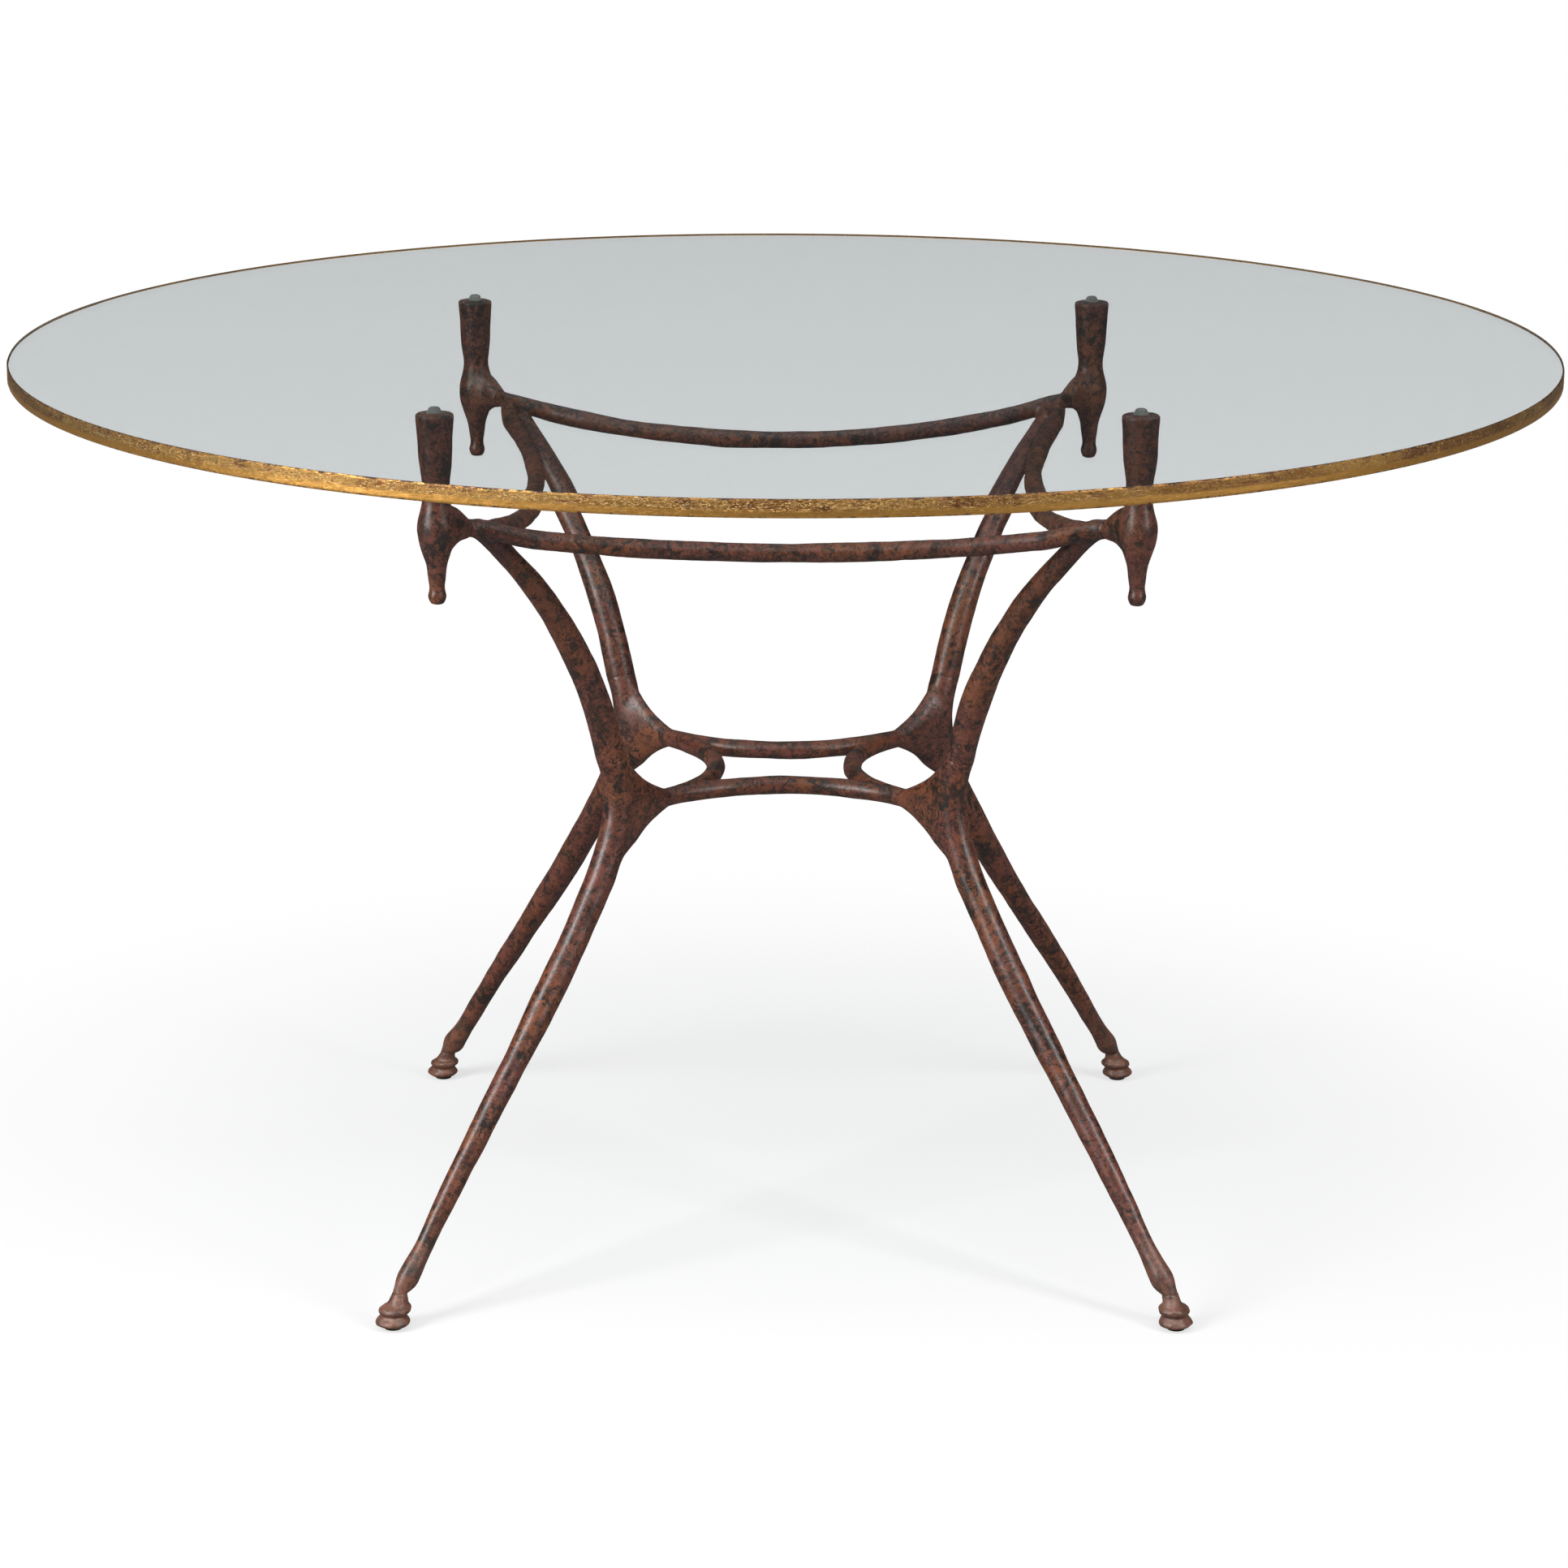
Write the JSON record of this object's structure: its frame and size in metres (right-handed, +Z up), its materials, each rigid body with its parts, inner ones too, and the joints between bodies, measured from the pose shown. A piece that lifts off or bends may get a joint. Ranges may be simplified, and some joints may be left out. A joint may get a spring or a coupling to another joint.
{
  "type": "round glass-top centre table",
  "caption": "Round centre table: clear glass disc with a gilded edge, loose on a cast metal base of bowed limbs, sagging rails, joined waist stretchers and drop-finial posts.",
  "frame": {"origin": "centre of the table on the floor, at the bottom of its bounding box", "axes": "+Z up along the table's axis; +X to the viewer's right and -Y towards the viewer, each square to a pair of rails; the limbs lie on the diagonals"},
  "size_m": [1.2998, 1.3, 0.76],
  "materials": {
    "patinated_metal": "satin red-brown patina veined with black",
    "glass": "clear, polished",
    "gilding": "gold leaf, worn and flecked",
    "clear_bumper": "clear soft plastic",
    "black_glide": "matt black"
  },
  "bodies": {
    "base": {"front_left_post": "patinated_metal", "front_left_arm": "patinated_metal", "front_left_leg": "patinated_metal", "front_left_foot": "patinated_metal", "front_left_bumper": "clear_bumper", "front_left_glide": "black_glide", "front_right_post": "patinated_metal", "front_right_arm": "patinated_metal", "front_right_leg": "patinated_metal", "front_right_foot": "patinated_metal", "front_right_bumper": "clear_bumper", "front_right_glide": "black_glide", "back_right_post": "patinated_metal", "back_right_arm": "patinated_metal", "back_right_leg": "patinated_metal", "back_right_foot": "patinated_metal", "back_right_bumper": "clear_bumper", "back_right_glide": "black_glide", "back_left_post": "patinated_metal", "back_left_arm": "patinated_metal", "back_left_leg": "patinated_metal", "back_left_foot": "patinated_metal", "back_left_bumper": "clear_bumper", "back_left_glide": "black_glide", "front_rail": "patinated_metal", "front_stretcher": "patinated_metal", "right_rail": "patinated_metal", "right_stretcher": "patinated_metal", "back_rail": "patinated_metal", "back_stretcher": "patinated_metal", "left_rail": "patinated_metal", "left_stretcher": "patinated_metal"},
    "top": {"glass_top": "glass", "gilded_edge": "gilding"}
  },
  "joints": [
    {"name": "top_lift", "type": "slide", "parent": "base", "child": "top", "axis": [0, 0, 1], "range_m": [0, 0.15]}
  ]
}
